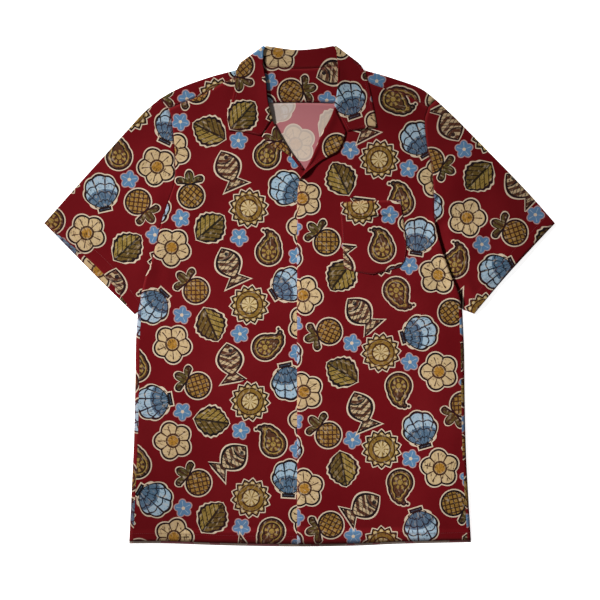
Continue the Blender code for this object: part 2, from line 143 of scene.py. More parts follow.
# How far in the middle of a cuff lies, its upper and its lower layer.
CUFF_BOW = {"right": 11, "left": 3.4}
CUFF_BOW_BELOW = {"right": -0.8, "left": 2.0}
CUFF_MIDDLE = 0.45    # where its middle is, from the corner to the tip
CUFF_CORNER = {"right": (-267, 375), "left": (283, 376)}
SIDE_SEAM = {
    "right": [(-276, 4), (-271, 107), (-268, 172), (-266, 269), (-265, 334), (-262, 379)],
    "left": [(278, 6), (271, 120), (268.5, 188), (267.5, 253), (266.5, 325), (263, 387)],
}
HEM_LINE = [(-276, 4), (-218, 4), (-142, 1.5), (-83, 0), (4, -1), (92, 0.3), (160, 3.3), (278, 6)]
FRONT_HEM_RISE = 4.0
UNDERLAP_EDGE = [(33, 3), (33, 200), (33, 400), (33, 500), (33, 548), (30, 578), (22, 597), (8, 610)]
PLACKET_EDGE = [(-4, 3), (-4, 200), (-4, 400), (-4, 500), (-4, 550), (-3, 575), (-1, 593)]
ROLL_LAPEL = {
    "right": [(8, 610), (-19, 646), (-43, 688)],
    "left": [(-1, 593), (15, 620), (23, 637), (35, 666), (50, 694), (56, 710)],
}
LAPEL_EDGE = {
    "right": [(1, 611), (-12, 628), (-27, 639), (-43, 647), (-61, 663)],
    "left": [(5, 600), (31, 621), (48, 631), (62, 639), (71, 655), (75, 671)],
}
NECKLINE = {
    "right": [(-43, 688), (-58, 706), (-69, 731), (-76, 752), (-80, 768)],
    "left": [(56, 710), (67, 726), (76, 748), (82, 768)],
}
BACK_NECK = [(-70, 781), (-58, 777), (0, 773), (59, 777), (71, 781)]
ROLL_NECK = {
    "right": [(-44, 692), (-51, 723), (-54, 755), (-59, 780), (-58, 811)],
    "left": [(57, 714), (61, 740), (62, 778), (59, 811)],
}
COLLAR_TOP = [(-58, 811), (0, 804), (59, 811)]
WING_EDGE = {
    "right": [(-114, 672), (-117, 701), (-109, 724), (-104, 750), (-103, 769), (-96, 783)],
    "left": [(126, 678), (120, 710), (111, 752), (105, 769), (97, 782)],
}
WING_END = {
    "right": [(-44, 692), (-62, 664), (-92, 671), (-114, 672)],
    "left": [(57, 714), (78, 672), (101, 675), (126, 678)],
}
BACK_RIM = [(-96, 783), (-84, 757), (0, 748), (85, 757), (97, 782)]
YOKE_SEAM = [(-208, 695), (-150, 710), (0, 719), (150, 708), (203, 687)]
POCKET_TOP = [(66, 557), (164, 561)]
POCKET_END = [(72, 450), (82, 446), (119, 439), (163, 452), (171, 463)]
POCKET_SIDES = [(66, 557), (72, 450)], [(164, 561), (173, 490), (171, 463)]

FOLD_REACH = 3.0      # how many half widths away a fold is still felt
# Soft ridges and troughs of the lying front, the solids' first and then finer ones.
# start x, start up, end x, end up, half width, height
FOLDS = [
    (-232, 560, -252, 420, 20, 2.6),
    (-205, 500, -150, 590, 24, 1.6),
    (-300, 560, -262, 450, 26, 2.4),
    (-345, 500, -300, 420, 24, 1.6),
    (236, 470, 262, 400, 20, 3.0),
    (272, 500, 300, 400, 22, 3.2),
    (232, 560, 270, 620, 26, 2.0),
    (330, 560, 340, 440, 26, 1.8),
    (-215, 60, -205, 260, 30, 1.8),
    (215, 40, 222, 250, 30, 2.2),
    (-120, 30, -112, 170, 30, 1.2),
    (240, 300, 205, 370, 24, 1.6),
    (218, 522, 228, 484, 9, 6.2),
    (234, 462, 258, 402, 9, 4.2),
    (244, 512, 256, 474, 9, 3.6),
    (262, 452, 282, 404, 9, 1.8),
    (-228, 520, -214, 440, 9, 1.3),
    (-240, 640, -300, 600, 12, 1.2),
    (-262, 500, -330, 560, 10, 1.0),
    (252, 640, 318, 590, 12, 1.2),
    (262, 460, 300, 520, 10, 1.4),
    (300, 430, 352, 500, 10, 1.1),
    (212, 440, 168, 420, 12, 1.0),
    (-214, 430, -160, 400, 13, 0.9),
    (-250, 340, -200, 300, 13, 1.0),
    (252, 200, 240, 90, 12, 1.0),
    (-255, 190, -248, 60, 12, 0.9),
]


def spline(points, count):
    """A smooth line through the points, cut into count steps of equal length."""
    given = [Vector(point) for point in points]
    if len(given) > 2:
        ends = [2 * given[0] - given[1]] + given + [2 * given[-1] - given[-2]]
        fine = []
        for a, b, c, d in zip(ends, ends[1:], ends[2:], ends[3:]):
            for step in range(CURVE_STEPS):
                t = step / CURVE_STEPS
                fine.append(0.5 * (2 * b + (c - a) * t + (2 * a - 5 * b + 4 * c - d) * t * t
                                   + (3 * b - a - 3 * c + d) * t ** 3))
        given = fine + [given[-1]]
    reach = [0.0]
    for a, b in zip(given, given[1:]):
        reach.append(reach[-1] + (b - a).length)
    line = []
    leg = 0
    for step in range(count + 1):
        wanted = reach[-1] * step / count
        while leg < len(reach) - 2 and reach[leg + 1] < wanted:
            leg += 1
        share = (wanted - reach[leg]) / (reach[leg + 1] - reach[leg])
        line.append(given[leg].lerp(given[leg + 1], min(share, 1.0)))
    return line


def halved(line, times):
    """The same line with a point added in the middle of every step, this many times over."""
    for _ in range(times):
        points = [line[0]]
        for a, b in zip(line, line[1:]):
            points += [(a + b) / 2, b]
        line = points
    return line


def patch(first, last, start, end):
    """Rows of points between four edges: the end rows, and every row's first and last point."""
    rows = len(start) - 1
    columns = len(first) - 1
    grid = []
    for r in range(rows + 1):
        v = r / rows
        line = []
        for c in range(columns + 1):
            u = c / columns
            corner = first[0].lerp(first[-1], u).lerp(last[0].lerp(last[-1], u), v)
            line.append(start[r].lerp(end[r], u) + first[c].lerp(last[c], v) - corner)
        grid.append(line)
    return grid


# ---------------------------------------------------------------- how high the cloth lies
def ease(value, low, high):
    t = min(max((value - low) / (high - low), 0.0), 1.0)
    return t * t * (3 - 2 * t)


def over(x, up, half, low):
    """1 over a hidden layer that reaches half to each side and down to low, 0 away from it."""
    beside = ease(half + CLEAR + RAMP - abs(x), 0, RAMP)
    return beside * ease(up, low - CLEAR - RAMP, low - CLEAR)


def ripple(x, up):
    """The slight unevenness of cloth that was smoothed by hand."""
    broad = 0.8 * sin(x / 46 + up / 91 + 0.7) + 0.8 * sin(up / 57 - x / 104 + 2.1)
    small = 0.5 * sin(x / 19 - up / 33) * sin(up / 22 + x / 47 + 1.0)
    return max(broad + small + 1.3, 0.0)


def drape(x, up):
    height = ripple(x, up)
    for x0, up0, x1, up1, width, rise in FOLDS:
        run, climb = x1 - x0, up1 - up0
        share = ((x - x0) * run + (up - up0) * climb) / (run * run + climb * climb)
        share = min(max(share, 0.0), 1.0)
        away = (x - x0 - run * share) ** 2 + (up - up0 - climb * share) ** 2
        if away < (FOLD_REACH * width) ** 2:
            height += rise * exp(-away / width ** 2)
    return height * (1 - HEM_SMOOTH * (1 - ease(up, 0, FLAT_HEM)))


def back_height(x, up):
    return WALL / 2 + LAYER * over(x, up, FALL_HALF, FALL_LOW)


def lining_height(x, up):
    return back_height(x, up) + LAYER


def top_height(x, up):
    """Middle of whatever lies uppermost on the back: right front, shoulder strip, sleeve."""
    layers = lining_height(x, up) + LAYER * over(x, up, LINING_HALF, LINING_LOW)
    return layers + drape(x, up) - HEM_SINKS * (1 - ease(up, 0, FLAT_HEM))


def left_front_height(x, up):
    beside = ease(UNDERLAP + CLEAR + RAMP - x, 0, RAMP)
    below = 1 - ease(up, UNDERLAP_TOP + CLEAR, UNDERLAP_TOP + CLEAR + RAMP)
    return top_height(x, up) + LAYER * beside * below


def from_cuff(side, place):
    """The distance of a place on a sleeve from the line between its cuff's two ends."""
    corner, tip = Vector(CUFF_CORNER[side]), Vector(SLEEVE_FOLD[side][-1])
    return abs((place - corner).cross((tip - corner).normalized()))


def sleeve_height(side):
    """The upper side of a sleeve. The left one's sinks under the front at the underarm."""
    seam = [Vector(point) for point in ARMHOLE_LOW["left"]]
    tests = [a.lerp(b, step / TUCK_TESTS) for a, b in zip(seam, seam[1:])
             for step in range(TUCK_TESTS + 1)]

    def height(x, up):
        place = Vector((x, up))
        away = from_cuff(side, place)
        top = top_height(x, up) + HEM_RISE * ease(-away, -CUFF_HEM - CUFF_EASE, -CUFF_HEM + CUFF_EASE)
        if side == "right":
            return top
        near = min((place - test).length for test in tests)
        width = TUCK_LOW + (TUCK - TUCK_LOW) * ease(up, TUCK_NARROWS - TUCK_EASE, TUCK_NARROWS + TUCK_EASE)
        width += TUCK_CUFF * ease(-up, -TUCK_WIDENS - TUCK_EASE, -TUCK_WIDENS + TUCK_EASE)
        sunk = exp(-(near / width) ** 4) * ease(-up, -TUCK_START, TUCK_END - TUCK_START)
        floor = back_height(x, up) + CLOTH + TUCK_GAP
        return floor + (top - floor) * (1 - sunk)

    return height


def raised(grid, height):
    return [[Vector((p.x, p.y, height(p.x, p.y))) for p in line] for line in grid]


def with_hem(grid, depth):
    """The grid with two close rows more, where a hem of this depth along its first row ends,
    and the number of rows that the hem covers."""
    for wanted in (depth - HEM_BAND, depth + HEM_BAND):
        row = next(r for r in range(1, len(grid)) if (grid[r][0] - grid[0][0]).length > wanted)
        line = []
        for start, a, b in zip(grid[0], grid[row - 1], grid[row]):
            near, far = (a - start).length, (b - start).length
            share = (wanted - near) / (far - near)
            line.append(a.lerp(b, min(max(share, HEM_MARGIN), 1 - HEM_MARGIN)))
        grid.insert(row, line)
    return row


def thicken(sheet, rows):
    for line in sheet[:rows]:
        for point in line:
            if point is not None:
                point.z += HEM_RISE


def turn(first, last, outward, bulge):
    """Points round a folded edge, from one lying layer to the other, without their ends."""
    middle = (first + last) / 2
    points = []
    for step in range(1, TURN_STEPS):
        angle = pi * step / TURN_STEPS
        points.append(middle + (first - middle) * cos(angle) + outward * bulge * sin(angle))
    return points


# ---------------------------------------------------------------- making a piece of cloth
def chart(turned, across, along):
    """Where the print falls on a cut piece: its turn in degrees and its shift."""
    a, b = cos(radians(turned)), sin(radians(turned))
    return lambda p: ((p.x * a - p.y * b + across) * MM, (p.x * b + p.y * a + along) * MM)


def cloth(name, grid, finishes, chart_of, slot_of=None, ring=False):
    """A thin shell on the grid's points. finishes are its materials: the upper side's and the
    lower side's, in pairs, and slot_of gives the pair of a face. chart_of gives its print."""
    vertices = []
    borders = []
    index = {}
    for r, line in enumerate(grid):
        for c, point in enumerate(line):
            if point is not None:
                index[r, c] = len(vertices)
                vertices.append((point.x * MM, (point.y - LENGTH / 2) * MM, point.z * MM))
                beside = not ring and (c == 0 or c == len(line) - 1 or None in line[c - 1:c + 2])
                borders.append(float(r in (0, len(grid) - 1) or beside))
    faces = []
    places = []
    slots = []
    columns = len(grid[0])
    for r in range(len(grid) - 1):
        for c in range(columns if ring else columns - 1):
            after = (c + 1) % columns
            corners = [(r, c), (r, after), (r + 1, after), (r + 1, c)]
            if all(corner in index for corner in corners):
                faces.append([index[corner] for corner in corners])
                where = chart_of(r, c)
                places.append([where(grid[i][j]) for i, j in corners])
                slots.append(slot_of(r, c) if slot_of else 0)
    mesh = bpy.data.meshes.new(name)
    mesh.from_pydata(vertices, [], faces)
    mesh.attributes.new("border", "FLOAT", "POINT").data.foreach_set("value", borders)
    layer = mesh.uv_layers.new(name="cut")
    for face, place, slot in zip(mesh.polygons, places, slots):
        face.material_index = 2 * slot
        for loop, uv in zip(face.loop_indices, place):
            layer.data[loop].uv = uv
    for finish in finishes:
        mesh.materials.append(finish)
    if mesh.polygons[0].normal.z < 0:
        mesh.flip_normals()
    mesh.shade_smooth()
    piece = bpy.data.objects.new(name, mesh)
    bpy.context.scene.collection.objects.link(piece)
    wall = piece.modifiers.new("cloth", "SOLIDIFY")
    wall.thickness = CLOTH * MM
    wall.offset = 0.0
    wall.material_offset = 1
    apply_all(piece)
    return piece


def apply_all(piece):
    for other in bpy.context.selected_objects:
        other.select_set(False)
    bpy.context.view_layer.objects.active = piece
    piece.select_set(True)
    for modifier in list(piece.modifiers):
        bpy.ops.object.modifier_apply(modifier=modifier.name)
    piece.select_set(False)


def side_of(side):
    return 1 if side == "left" else -1


def front_edge(side):
    return UNDERLAP_EDGE if side == "right" else PLACKET_EDGE


def front_hem(side, rise):
    """The hem line's points outside a front's edge, this much higher up."""
    edge = front_edge(side)[0][0]
    return [Vector((x, up + rise)) for x, up in HEM_LINE if (x - edge) * side_of(side) > HEM_FROM_EDGE]


def cuff_points(side, bow):
    """A cuff's corner, middle and tip, and the direction from its tip to the shoulder."""
    corner, tip = Vector(CUFF_CORNER[side]), Vector(SLEEVE_FOLD[side][-1])
    inward = (Vector(SHOULDER[side][0]) - tip).normalized()
    return [corner, corner.lerp(tip, CUFF_MIDDLE) + inward * bow[side], tip], inward


def armhole(side, low_rows):
    low = spline(low_rows[side], ARM_LOW_ROWS)
    top = spline(ARMHOLE_TOP[side], ARM_TOP_ROWS)
    return low[::-1] + top[::-1][1:]


def back_armhole(side):
    low = spline(BACK_LOW[side], ARM_LOW_ROWS)
    seam_end = YOKE_SEAM[0] if side == "right" else YOKE_SEAM[-1]
    top = spline([seam_end] + ARMHOLE_TOP[side][2:], ARM_TOP_ROWS)
    return low[::-1] + top[::-1][1:] + spline([seam_end, SHOULDER[side][0]], FINE)[1:]


def neck_seam(side):
    return spline(NECKLINE[side], NECK_ROWS)


# ---------------------------------------------------------------- shader building
ABOVE_ZERO = 9.0      # a whole number that lifts every value of the motifs' formulas over 0


class Value:
    """A socket of numbers. Written in a sum, it adds the Math nodes that work the sum out."""

    def __init__(self, finish, socket):
        self.finish = finish
        self.socket = socket

    def math(self, operation, *others):
        return self.finish.math(operation, self, *others)

    def __add__(self, other):
        return self.math("ADD", other)

    def __radd__(self, other):
        return self.math("ADD", other)

    def __sub__(self, other):
        return self.math("SUBTRACT", other)

    def __rsub__(self, other):
        return self.finish.math("SUBTRACT", other, self)

    def __mul__(self, other):
        return self.math("MULTIPLY", other)

    def __abs__(self):
        return self.math("ABSOLUTE")

    def __lt__(self, other):
        return self.math("LESS_THAN", other)

    def __gt__(self, other):
        return self.math("GREATER_THAN", other)


class Finish:
    """A material under construction: any node comes from node(), a sum's from math()."""

    def __init__(self, name):
        self.material = bpy.data.materials.new(name)
        self.material.use_nodes = True
        self.tree = self.material.node_tree
        self.tree.nodes.clear()

    def node(self, kind, settings=None, output=0, **sockets):
        """A new node, its settings, its sockets by name or as i and a number, and one output."""
        node = self.tree.nodes.new(kind)
        for key, value in (settings or {}).items():
            setattr(node, key, value)
        for key, value in sockets.items():
            numbered = key[0] == "i" and key[1:].isdigit()
            self.feed(node.inputs[int(key[1:]) if numbered else key.replace("_", " ")], value)
        return None if output is None else Value(self, node.outputs[output])

    def feed(self, socket, value):
        if isinstance(value, Value):
            self.tree.links.new(value.socket, socket)
        else:
            socket.default_value = value

    def math(self, operation, *values):
        sockets = {f"i{place}": value for place, value in enumerate(values)}
        return self.node("ShaderNodeMath", {"operation": operation}, **sockets)

    def mix(self, share, first, last):
        """Two colours mixed by a share."""
        return self.node("ShaderNodeMix", {"data_type": "RGBA"}, 2, i0=share, i6=first, i7=last)

    def fraction(self, value):
        """What is left of a value without its whole part, also where it is a little under 0."""
        return self.math("FRACT", value + ABOVE_ZERO)

    def most(self, first, last):
        return self.math("MAXIMUM", first, last)

    def least(self, first, last):
        return self.math("MINIMUM", first, last)

    def length(self, x, y):
        return self.math("SQRT", x * x + y * y)

    def noise(self, place, scale, detail=2.0):
        return self.node("ShaderNodeTexNoise", {}, 0, Vector=place, Scale=scale, Detail=detail)

    def parts(self, vector):
        split = self.tree.nodes.new("ShaderNodeSeparateXYZ")
        self.tree.links.new(vector.socket, split.inputs[0])
        return [Value(self, out) for out in split.outputs]

    def whole(self, x, y, z=0.0):
        return self.node("ShaderNodeCombineXYZ", {}, 0, X=x, Y=y, Z=z)

    def surface(self, **sockets):
        """The finished surface, from a Principled shader's sockets."""
        shader = self.node("ShaderNodeBsdfPrincipled", {}, 0, **sockets)
        self.node("ShaderNodeOutputMaterial", {}, None, Surface=shader)


def linear(red, green, blue):
    """A colour given as seen on a screen, 0 to 255, as the shader wants it."""
    def one(value):
        value /= 255
        return value / 12.92 if value <= 0.04045 else ((value + 0.055) / 1.055) ** 2.4
    return one(red), one(green), one(blue), 1.0


# ---------------------------------------------------------------- the print
CELL = 0.070          # metres from one motif to the next
MOTIF = 0.0345        # a motif's reach
LAY = 27.0            # the motifs' grid is turned by this against the cloth's grain
RIM, LINE = 0.055, 0.085  # widths of the pale rim and dark line, in reaches
ROW_SHIFT = 3.0       # kinds by which each row of motifs is moved along against the last

GROUND = linear(99, 7, 15)
RIM_COLOUR = linear(202, 182, 158)
LINE_COLOUR = linear(24, 18, 20)
# Dark, middle and light colour of each motif, in the order of MOTIFS.
PALETTE = [
    (linear(62, 40, 27), linear(192, 166, 124), linear(162, 116, 42)),
    (linear(34, 28, 18), linear(94, 74, 32), linear(138, 114, 54)),
    (linear(50, 32, 20), linear(126, 96, 38), linear(190, 168, 122)),
    (linear(30, 36, 46), linear(76, 102, 124), linear(150, 174, 190)),
    (linear(56, 34, 20), linear(144, 108, 48), linear(78, 68, 32)),
    (linear(28, 26, 28), linear(80, 48, 32), linear(184, 160, 124)),
    (linear(26, 20, 18), linear(78, 48, 30), linear(148, 120, 60)),
]


def flower(f, x, y, reach, angle):
    petals = abs(f.math("COSINE", angle * 2.5))
    edge = (reach - (petals * 0.20 + 0.78)) * 0.9
    gaps = (petals < 0.16) * (reach > 0.30) * (reach < 0.84)
    vein = (abs(f.math("SINE", angle * 2.5)) < 0.11) * (reach < 0.72)
    heart = reach < 0.24
    ring = abs(reach - 0.30) < 0.045
    dark = f.most(f.most(gaps, vein), ring)
    return edge, (0.5 + heart * 0.5) * (1.0 - dark)


def leaf(f, x, y, reach, angle):
    side = abs(x)
    along = y * (1 / 0.93)
    teeth = abs(f.fraction(y * 3.5 + side) - 0.5) * 0.14
    edge = (side - (1.0 - along * along) * 0.82 + teeth) * 0.7
    vein = f.fraction((y + side * 0.9) * 3.5) < 0.22
    rib = side < 0.05
    shade = (x > 0.0) * 0.5 + 0.5
    return edge, shade * (1.0 - f.most(vein, rib))


def sun(f, x, y, reach, angle):
    ray = abs(f.fraction(angle * (14 / (2 * pi))) - 0.5) * 2.0
    edge = (reach - (ray * 0.16 + 0.82)) * 0.9
    rings = f.most(abs(reach - 0.62) < 0.03, abs(reach - 0.40) < 0.035)
    disc = (reach < 0.40) * (f.fraction(angle * (9 / (2 * pi))) > 0.3)
    dots = (abs(reach - 0.71) < 0.05) * (ray > 0.55)
    return edge, (1.0 - rings) * f.most(f.most(disc, dots), 0.5)


def shell(f, x, y, reach, angle):
    high = y + 0.86
    fan = f.math("ARCTAN2", x, high)
    span = f.length(x, high)
    ribs = abs(f.math("COSINE", fan * 8.0))
    middle = y - 0.06
    disc = f.length(x, middle) - (ribs * 0.07 + 0.82)
    ears = f.most(abs(x) - 0.36, abs(y + 0.80) - 0.15)
    arcs = f.math("FRACT", span * 2.6 - ribs * 0.25) < 0.16
    dark = f.most(ribs < 0.22, arcs)
    return f.least(disc, ears), (1.0 - dark) * ((span > 1.0) * 0.5 + 0.5)


def fruit(f, x, y, reach, angle):
    wide, tall = x * (1 / 0.68), (y + 0.32) * (1 / 0.66)
    body = (f.length(wide, tall) - 1.0) * 0.66
    high = y - 0.16
    span = f.length(x, high)
    fan = f.math("ARCTAN2", x, high)
    blades = abs(f.math("COSINE", fan * 3.0))
    crown = f.most(span - (blades * 0.34 + 0.46), (abs(fan) - 1.45) * span)
    hatch_a = abs(f.fraction((x + y) * 3.4) - 0.5) > 0.36
    hatch_b = abs(f.fraction((x - y) * 3.4) - 0.5) > 0.36
    in_body = body < 0.0
    seams = f.most(hatch_a, hatch_b)
    blade_rib = f.most(blades > 0.96, blades < 0.16)
    shade = in_body * (0.5 - seams * 0.5) + (1.0 - in_body) * (1.0 - blade_rib)
    return f.least(body, crown), shade


def fish(f, x, y, reach, angle):
    along = (x + 0.16) * (1 / 0.83)
    side = abs(y)
    body = (side - (1.0 - along * along) * 0.68) * 0.7
    tail = f.most(side - (x - 0.26) * 1.05, f.most(x - 0.97, 0.36 - x))
    eye_x, eye_y = x + 0.58, y - 0.10
    eye = f.length(eye_x, eye_y) < 0.10
    bands = f.fraction((x + side * 0.5) * 3.0) < 0.5
    gill = abs(x + 0.34 + side * side) < 0.04
    scales = (f.fraction((x - side * 0.5) * 6.0) < 0.2) * (x > -0.3)
    dark = f.most(f.most(eye, gill), scales)
    return f.least(body, tail), (bands * 0.5 + 0.5) * (1.0 - dark)


def paisley(f, x, y, reach, angle):
    edge = 9.0
    for centre_x, centre_y, radius in ((0.0, -0.26, 0.68), (0.12, 0.04, 0.56), (0.20, 0.30, 0.42),
                                       (0.16, 0.54, 0.29), (0.02, 0.72, 0.19), (-0.16, 0.80, 0.12)):
        away_x, away_y = x - centre_x, y - centre_y
        edge = f.least(f.length(away_x, away_y) - radius, edge)
    low = y + 0.26
    near = f.length(x, low)
    turn_of = f.math("ARCTAN2", low, x)
    heart = near < 0.12
    petals = (f.math("COSINE", turn_of * 7.0) > 0.0) * (abs(near - 0.25) < 0.08)
    ring = abs(edge + 0.24) < 0.03
    line = abs(edge + 0.30) < 0.025
    light = f.most(f.most(ring, heart), petals)
    return edge, (0.5 + light * 0.5) * (1.0 - line)


MOTIFS = [flower, leaf, sun, shell, fruit, fish, paisley]


def print_on(f):
    """The printed colours, 1 where a motif covers the ground, and the cloth's own place."""
    place = f.node("ShaderNodeUVMap", {"uv_map": "cut"})
    across, along, _ = f.parts(place)
    a, b = cos(radians(LAY)) / CELL, sin(radians(LAY)) / CELL
    kinds = float(len(MOTIFS))
    u = across * a + along * b + 6 * kinds
    v = along * a - across * b + 6 * kinds
    column, row = f.math("FLOOR", u), f.math("FLOOR", v)
    chance = f.parts(f.node("ShaderNodeTexWhiteNoise", {"noise_dimensions": "2D"}, 1,
                            Vector=f.whole(column, row)))
    x = (u - column - 0.5) * (CELL / MOTIF)
    y = (v - row - 0.5) * (CELL / MOTIF)
    lean = chance[2] * (2 * pi)
    ca, sa = f.math("COSINE", lean), f.math("SINE", lean)
    x, y = x * ca - y * sa, x * sa + y * ca
    reach = f.length(x, y)
    angle = f.math("ARCTAN2", y, x)
    kind = f.math("MODULO", column + row * ROW_SHIFT, kinds)

    edge, shade = 0.0, 0.0
    tones = [None, None, None]
    for number, motif in enumerate(MOTIFS):
        chosen = f.math("COMPARE", kind, float(number), 0.5)
        its_edge, its_shade = motif(f, x, y, reach, angle)
        edge = its_edge * chosen + edge
        shade = its_shade * chosen + shade
        for tone, colour in enumerate(PALETTE[number]):
            before = tones[tone]
            tones[tone] = f.mix(chosen, before, colour) if before else f.mix(1.0, colour, colour)
    fill = f.mix(shade > 0.25, tones[0], tones[1])
    fill = f.mix(shade > 0.75, fill, tones[2])
    strokes = f.noise(f.whole(x * 11.0, y * 4.0, chance[0] * 9.0), 1.0, 3.0)
    fine = f.noise(f.whole(x * 24.0, y * 7.0, chance[0] * 9.0), 1.0, 2.0)
    fill = f.mix((strokes - 0.53) * 5.0 + (fine - 0.56) * 6.0, fill, tones[0])
    fill = f.mix((0.44 - strokes) * 3.0, fill, RIM_COLOUR)

    # A small five-petalled blossom where some of the cells meet.
    near_column, near_row = f.math("FLOOR", u + 0.5), f.math("FLOOR", v + 0.5)
    near_x = (u - near_column) * (CELL / MOTIF)
    near_y = (v - near_row) * (CELL / MOTIF)
    chosen = f.math("COMPARE", f.math("MODULO", near_column + near_row, 3.0), 0.0, 0.5)
    small = f.length(near_x, near_y)
    wheel = f.math("ARCTAN2", near_y, near_x) * 2.5 + near_row
    small_edge = small - (abs(f.math("COSINE", wheel)) * 0.13 + 0.33) * chosen
    small_veins = (abs(f.math("SINE", wheel)) < 0.16) * (small < 0.34)

    colour = f.mix(small_edge < 0.0, GROUND, linear(172, 134, 130))
    colour = f.mix(small_edge < -0.05, colour, linear(84, 122, 156))
    colour = f.mix((small_edge < -0.05) * small_veins, colour, linear(146, 164, 178))
    colour = f.mix((small < 0.08) * chosen, colour, RIM_COLOUR)
    colour = f.mix(edge < 0.0, colour, RIM_COLOUR)
    colour = f.mix(edge < -RIM, colour, LINE_COLOUR)
    colour = f.mix(edge < -(RIM + LINE), colour, fill)
    covered = f.most(edge < 0.0, small_edge < 0.0)
    return colour, covered, place, across, along


def weave(f, place, across, along):
    """Height of the plain weave with its uneven threads, and of faint creasing from wear."""
    pitch = 2 * pi / 0.0006
    slub = f.noise(place, 60.0, 3.0)
    warp = f.math("SINE", across * pitch + slub * 3.0)
    weft = f.math("SINE", along * pitch + slub * 3.0)
    crumple = f.noise(place, 26.0, 3.0)
    return (warp * weft) * 0.04 + crumple


def shirting(name, reverse=False):
    """Light viscose with the print: matt, a little nap, and the print's washed-out reverse."""
    f = Finish(name)
    colour, covered, place, across, along = print_on(f)
    if reverse:
        pale = f.mix(covered, linear(184, 118, 123), linear(203, 187, 174))
        colour = f.mix(0.78, colour, pale)
    # Paler at random where the cloth is worn, and paler along every edge of each piece: partly worn edges
    # and partly a painted highlight on edges that lie in shade.
    wear = f.noise(place, 9.0, 4.0)
    worn_and_edge_highlight = linear(190, 120, 110) if reverse else linear(150, 50, 50)
    border = f.node("ShaderNodeAttribute", {"attribute_name": "border"}, 2)
    colour = f.mix((wear - 0.5) * 0.25 + border * 0.2 + 0.02, colour, worn_and_edge_highlight)
    bump = f.node("ShaderNodeBump", {}, 0, Strength=0.5, Distance=0.0012,
                  Height=weave(f, place, across, along))
    f.surface(Base_Color=colour, Normal=bump, Roughness=f.noise(place, 300.0) * 0.12 + 0.78,
              Sheen_Weight=0.03, Sheen_Roughness=0.4, Specular_IOR_Level=0.08)
    return f.material


def thread_finish():
    f = Finish("sewing_thread")
    place = f.node("ShaderNodeTexCoord", {}, 3)
    tone = f.noise(place, 900.0)
    colour = f.mix(tone, linear(96, 10, 20), linear(136, 24, 36))
    f.surface(Base_Color=colour, Roughness=0.55)
    return f.material


def floor_finish():
    f = Finish("pale_floor")
    place = f.node("ShaderNodeTexCoord", {}, 3)
    tone = f.noise(place, 3.0)
    colour = f.mix(tone, linear(246, 246, 246), linear(250, 250, 250))
    f.surface(Base_Color=colour, Roughness=0.9, Emission_Color=colour, Emission_Strength=0.9)
    return f.material


PRINTED = shirting("printed_viscose")
REVERSE = shirting("printed_viscose_reverse", reverse=True)
THREAD = thread_finish()


# ---------------------------------------------------------------- the pieces
# Where the print falls on each cut piece: its turn in degrees and its shift across and along.
CHARTS = {
    "back": chart(0, 17, 22),
    "back_hem": chart(180, 9, 33),
    "inside": chart(0, 44, 30),
    "front_right": chart(0, 0, 0),
    "front_left": chart(0, 7.1, -46.2),
    "lapel_right": chart(38, 31, 57),
    "lapel_left": chart(-38, 31, 57),
    "yoke": chart(0, 5, 140),
    "strip_right": chart(-20, 12, 9),
    "strip_left": chart(20, 40, 63),
    "sleeve_right": chart(47, -37, 11),
    "sleeve_left": chart(-47, 98, -18.4),
    "cuff_right": chart(-31, 61.5, -33.6),
    "cuff_left": chart(31, 18, 44),
    "wing_right": chart(24, 3, 40),
    "wing_left": chart(-24, 51, 18),
    "pocket": chart(0, 38, 29),
}


def puff(share, soft):
    """How much a turned piece stands up at its fold: share is 0 there and 1 at its rim."""
    return soft * exp(-(share / PUFF_SPREAD) ** 2)


def front(side, height):
    """A front with its turned hem, and its lapel turned over along the roll."""
    outer = spline(SIDE_SEAM[side], SIDE_ROWS) + armhole(side, ARMHOLE_LOW)[1:]
    roll = spline(ROLL_LAPEL[side], LAPEL_ROWS)
    inner = spline(front_edge(side), PLACKET_ROWS) + roll[1:] + neck_seam(side)[1:]
    hem = front_hem(side, FRONT_HEM_RISE)
    if side == "right":
        hem = hem[::-1]
    low = spline([inner[0]] + hem, FRONT_COLUMNS)[::-1]
    high = spline(FORWARD_SEAM[side], FRONT_COLUMNS)
    outer[0] = low[0]
    grid = patch(low, high, outer, inner)
    hem_rows = with_hem(grid, HEM)
    sheet = raised(grid, height)
    thicken(sheet, hem_rows)
    first = PLACKET_ROWS + len(grid) - len(outer)
    rim = spline(LAPEL_EDGE[side], LAPEL_ROWS)
    for r, line in enumerate(sheet):
        if first <= r <= first + LAPEL_ROWS:
            share = (r - first) / LAPEL_ROWS
            full = LAPEL_SOFT[side] * ease(share, 0.0, LAPEL_FILLS)
            out = (grid[r][-1] - grid[r][-2]).normalized()
            rolled = roll[r - first] - out * (WALL + LAYER + full) / 2
            line[-1] = Vector((rolled.x, rolled.y, height(rolled.x, rolled.y)))
            lapel = []
            for column in range(LAPEL_COLUMNS + 1):
                across = column / LAPEL_COLUMNS
                place = rolled.lerp(rim[r - first], across)
                lift = LIFT_LEAST + exp(-((share - LIFT_AT) / LIFT_SPREAD) ** 2)
                rise = LAYER + puff(across, full) + LAPEL_FLARE[side] * across * lift
                lapel.append(Vector((place.x, place.y, height(place.x, place.y) + rise)))
            line += turn(line[-1], lapel[0], Vector((out.x, out.y, 0)), (LAYER + full) / 2) + lapel
        else:
            line += [None] * (TURN_STEPS + LAPEL_COLUMNS)
    side_rows = SIDE_ROWS + len(grid) - len(outer)

    def chart_of(r, c):
        if c == 0 and r < side_rows:
            return CHARTS["back"]
        return CHARTS["front_" + side if c < FRONT_COLUMNS else "lapel_" + side]

    return cloth("shown_front_" + side, sheet, [PRINTED, REVERSE, PRINTED, PRINTED], chart_of,
                 lambda r, c: 0 if c < FRONT_COLUMNS else 1)


